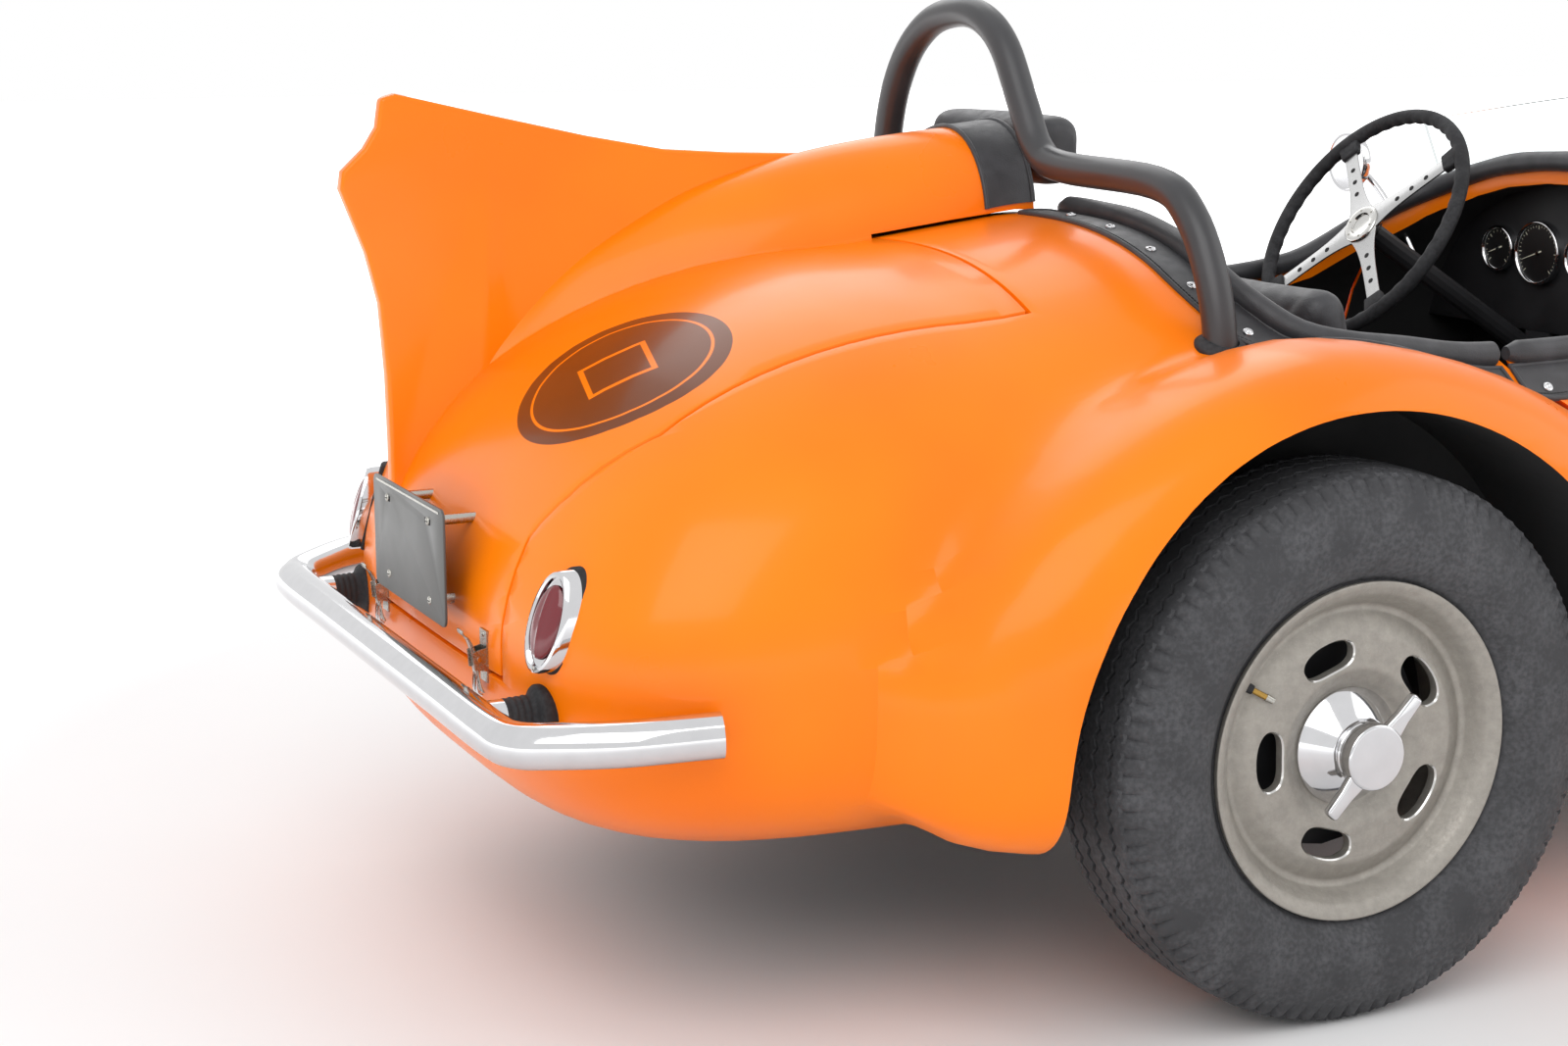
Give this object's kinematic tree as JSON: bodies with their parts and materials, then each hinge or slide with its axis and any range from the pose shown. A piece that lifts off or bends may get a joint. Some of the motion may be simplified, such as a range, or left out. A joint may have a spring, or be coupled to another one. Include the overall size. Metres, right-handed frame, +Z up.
{
  "type": "sports roadster car",
  "caption": "Open two-seat sports roadster with long bonnet, rear wings blended into the tail, separate front wings, roll hoop and an offset headrest fairing with a tail fin.",
  "frame": {"origin": "middle of the car's length and width, at floor level under the tyres", "axes": "+X towards the nose, +Y to the driver's side (left), +Z up"},
  "size_m": [3.738, 1.554, 1.2644],
  "materials": {
    "paint": "gloss",
    "leather": "satin",
    "dash_vinyl": "matte",
    "engine_iron": "cast",
    "steel_dark": "satin",
    "exhaust_steel": "satin",
    "spoke_steel": "brushed",
    "chrome": "polished",
    "red_lens": "gloss",
    "plate": "satin",
    "glass": "clear",
    "tyre": "matte",
    "cast_alloy": "as cast"
  },
  "bodies": {
    "chassis": {"body_centre": "paint", "body_front": "paint", "body_tail": "paint", "coaming_front": "leather", "coaming_left": "leather", "coaming_right": "leather", "cross_tube_dash": "steel_dark", "cross_tube_front": "steel_dark", "cross_tube_rear": "steel_dark", "cross_tube_seat": "steel_dark", "dashboard": "dash_vinyl", "engine_block": "engine_iron", "exhaust": "exhaust_steel", "floor_pan": "steel_dark", "frame_rail_left": "steel_dark", "frame_rail_right": "steel_dark", "front_axle": "steel_dark", "front_wing_left": "paint", "front_wing_right": "paint", "grille": "chrome", "headlamp_left": "chrome", "headlamp_right": "chrome", "mirror": "chrome", "radiator": "steel_dark", "rear_axle": "steel_dark", "rear_bumper": "chrome", "roll_hoop": "steel_dark", "seat_left": "leather", "seat_right": "leather", "steering_column": "steel_dark", "tail_lamp_left": "red_lens", "tail_lamp_right": "red_lens", "windscreen": "glass"},
    "boot_lid": {"boot_lid": "paint", "headrest_pad": "leather", "number_plate": "plate", "latch_left": "chrome", "latch_right": "chrome"},
    "door_left": {"door_left": "paint", "door_pad_left": "leather"},
    "door_right": {"door_right": "paint", "door_pad_right": "leather"},
    "bonnet": {"bonnet": "paint"},
    "steering_wheel": {"steering_wheel": "spoke_steel"},
    "knuckle_left": {"knuckle_left": "steel_dark"},
    "knuckle_right": {"knuckle_right": "steel_dark"},
    "track_rod": {"track_rod": "steel_dark"},
    "wheel_front_left": {"tyre_front_left": "tyre", "wheel_front_left": "cast_alloy", "spinner_front_left": "chrome"},
    "wheel_front_right": {"tyre_front_right": "tyre", "wheel_front_right": "cast_alloy", "spinner_front_right": "chrome"},
    "wheel_rear_left": {"tyre_rear_left": "tyre", "wheel_rear_left": "cast_alloy", "spinner_rear_left": "chrome"},
    "wheel_rear_right": {"tyre_rear_right": "tyre", "wheel_rear_right": "cast_alloy", "spinner_rear_right": "chrome"}
  },
  "joints": [
    {"name": "wheel_rear_left_spin", "type": "hinge", "parent": "chassis", "child": "wheel_rear_left", "pos_m": [-0.8216, 0.665, 0.352], "axis": [0, 1, 0], "continuous": true},
    {"name": "wheel_rear_right_spin", "type": "hinge", "parent": "chassis", "child": "wheel_rear_right", "pos_m": [-0.8216, -0.665, 0.352], "axis": [0, 1, 0], "continuous": true},
    {"name": "steer_right", "type": "hinge", "parent": "chassis", "child": "knuckle_right", "pos_m": [1.4134, -0.6, 0.352], "axis": [0, 0, 1], "range_deg": [-28, 28]},
    {"name": "steer_left", "type": "hinge", "parent": "chassis", "child": "knuckle_left", "pos_m": [1.4134, 0.6, 0.352], "axis": [0, 0, 1], "range_deg": [-28, 28]},
    {"name": "wheel_front_left_spin", "type": "hinge", "parent": "knuckle_left", "child": "wheel_front_left", "pos_m": [1.4134, 0.665, 0.352], "axis": [0, 1, 0], "continuous": true},
    {"name": "wheel_front_right_spin", "type": "hinge", "parent": "knuckle_right", "child": "wheel_front_right", "pos_m": [1.4134, -0.665, 0.352], "axis": [0, 1, 0], "continuous": true},
    {"name": "track_rod_swing", "type": "hinge", "parent": "knuckle_right", "child": "track_rod", "pos_m": [1.2734, -0.6, 0.4046], "axis": [0, 0, 1], "range_deg": [-28, 28]},
    {"name": "steering_wheel_turn", "type": "hinge", "parent": "chassis", "child": "steering_wheel", "pos_m": [-0.0916, 0.259, 0.896], "axis": [-0.848, 0, 0.5299], "range_deg": [-336, 336]},
    {"name": "door_left_hinge", "type": "hinge", "parent": "chassis", "child": "door_left", "pos_m": [0.1114, 0.60685, 0.45], "axis": [0, 0, -1], "range_deg": [0, 65]},
    {"name": "door_right_hinge", "type": "hinge", "parent": "chassis", "child": "door_right", "pos_m": [0.1114, -0.60685, 0.45], "axis": [0, 0, 1], "range_deg": [0, 65]},
    {"name": "bonnet_hinge", "type": "hinge", "parent": "chassis", "child": "bonnet", "pos_m": [1.4614, 0, 0.83031], "axis": [0, 1, 0], "range_deg": [0, 60]},
    {"name": "boot_lid_hinge", "type": "hinge", "parent": "chassis", "child": "boot_lid", "pos_m": [-0.7666, 0, 0.915], "axis": [0, 1, 0], "range_deg": [0, 38]}
  ],
  "couplings": [
    {"joint": "steer_left", "follows": "steer_right", "ratio": 1},
    {"joint": "track_rod_swing", "follows": "steer_right", "ratio": -1},
    {"joint": "steering_wheel_turn", "follows": "steer_right", "ratio": 12}
  ]
}
